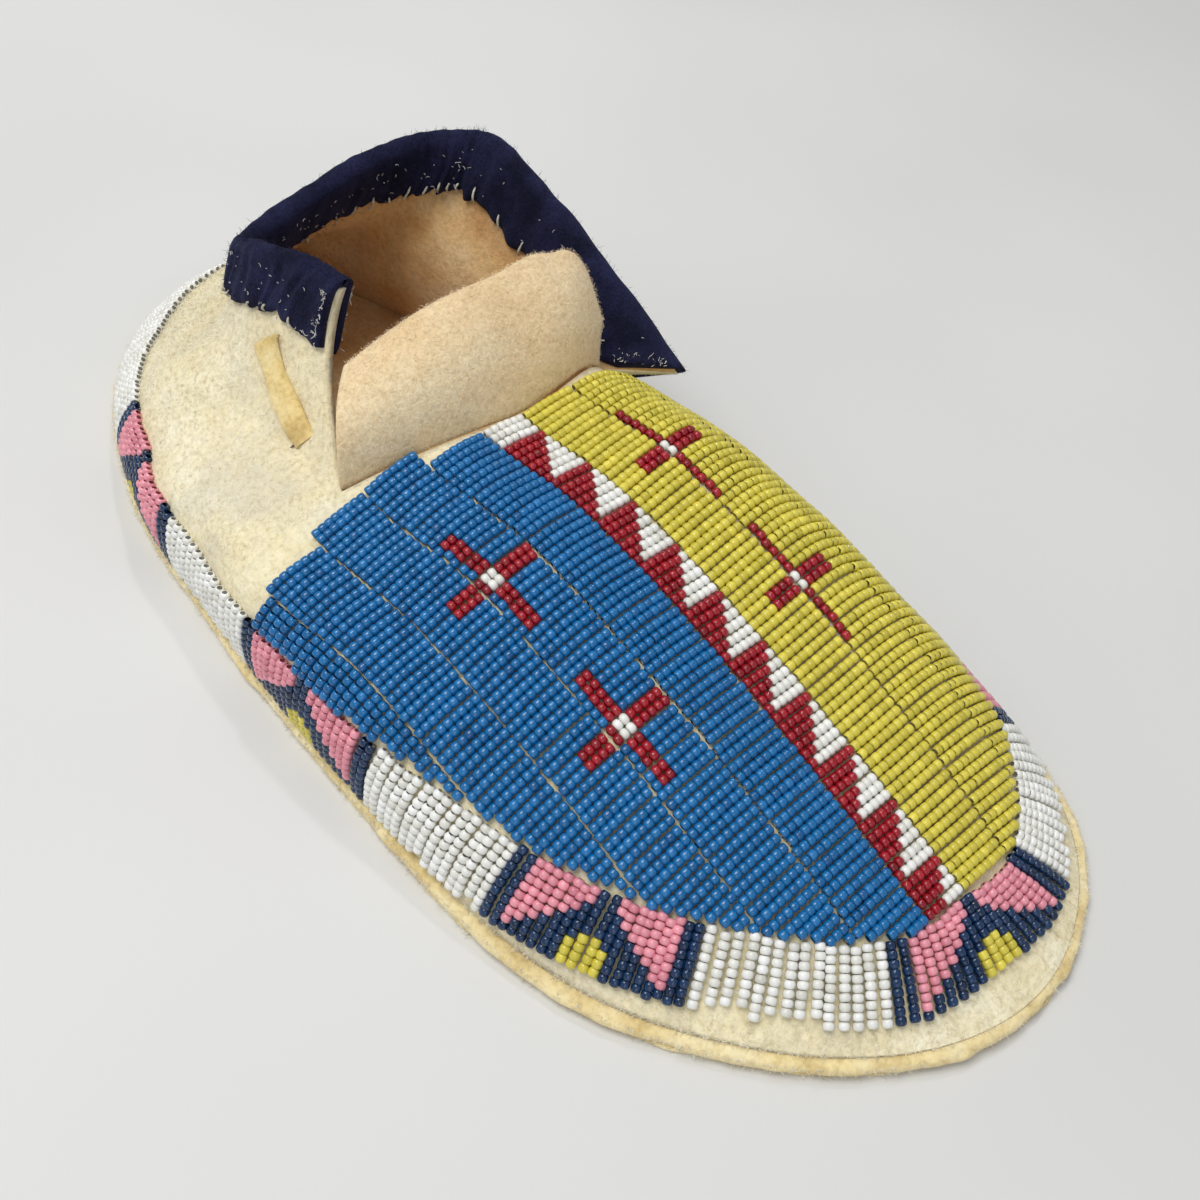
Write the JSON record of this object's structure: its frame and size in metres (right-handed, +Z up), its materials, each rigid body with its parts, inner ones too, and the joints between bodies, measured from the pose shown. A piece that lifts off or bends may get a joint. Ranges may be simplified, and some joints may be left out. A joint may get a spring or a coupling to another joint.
{
  "type": "moccasin",
  "caption": "Hard-soled hide moccasin for the right foot, with a fully beaded vamp, a beaded border, a wool-bound collar, a folded tongue and a tie thong.",
  "frame": {"origin": "bottom centre of the shoe's box, on the floor under the sole", "axes": "+X from heel to toe, +Y towards the inner side of the foot, +Z up"},
  "size_m": [0.262, 0.1154, 0.0632],
  "materials": {
    "upper_hide": "suede",
    "sole_hide": "matte",
    "tongue_hide": "suede",
    "binding_wool": "matte",
    "thong_hide": "suede",
    "thread": "matte",
    "beads_blue": "gloss",
    "beads_yellow": "gloss",
    "beads_red": "gloss",
    "beads_white": "gloss",
    "beads_pink": "gloss",
    "beads_navy": "gloss"
  },
  "bodies": {
    "root": {"sole": "sole_hide", "upper": "upper_hide", "tongue": "tongue_hide", "collar_binding": "binding_wool", "lace_lateral": "thong_hide", "lace_medial_front": "thong_hide", "lace_medial_rear": "thong_hide"}
  },
  "joints": []
}
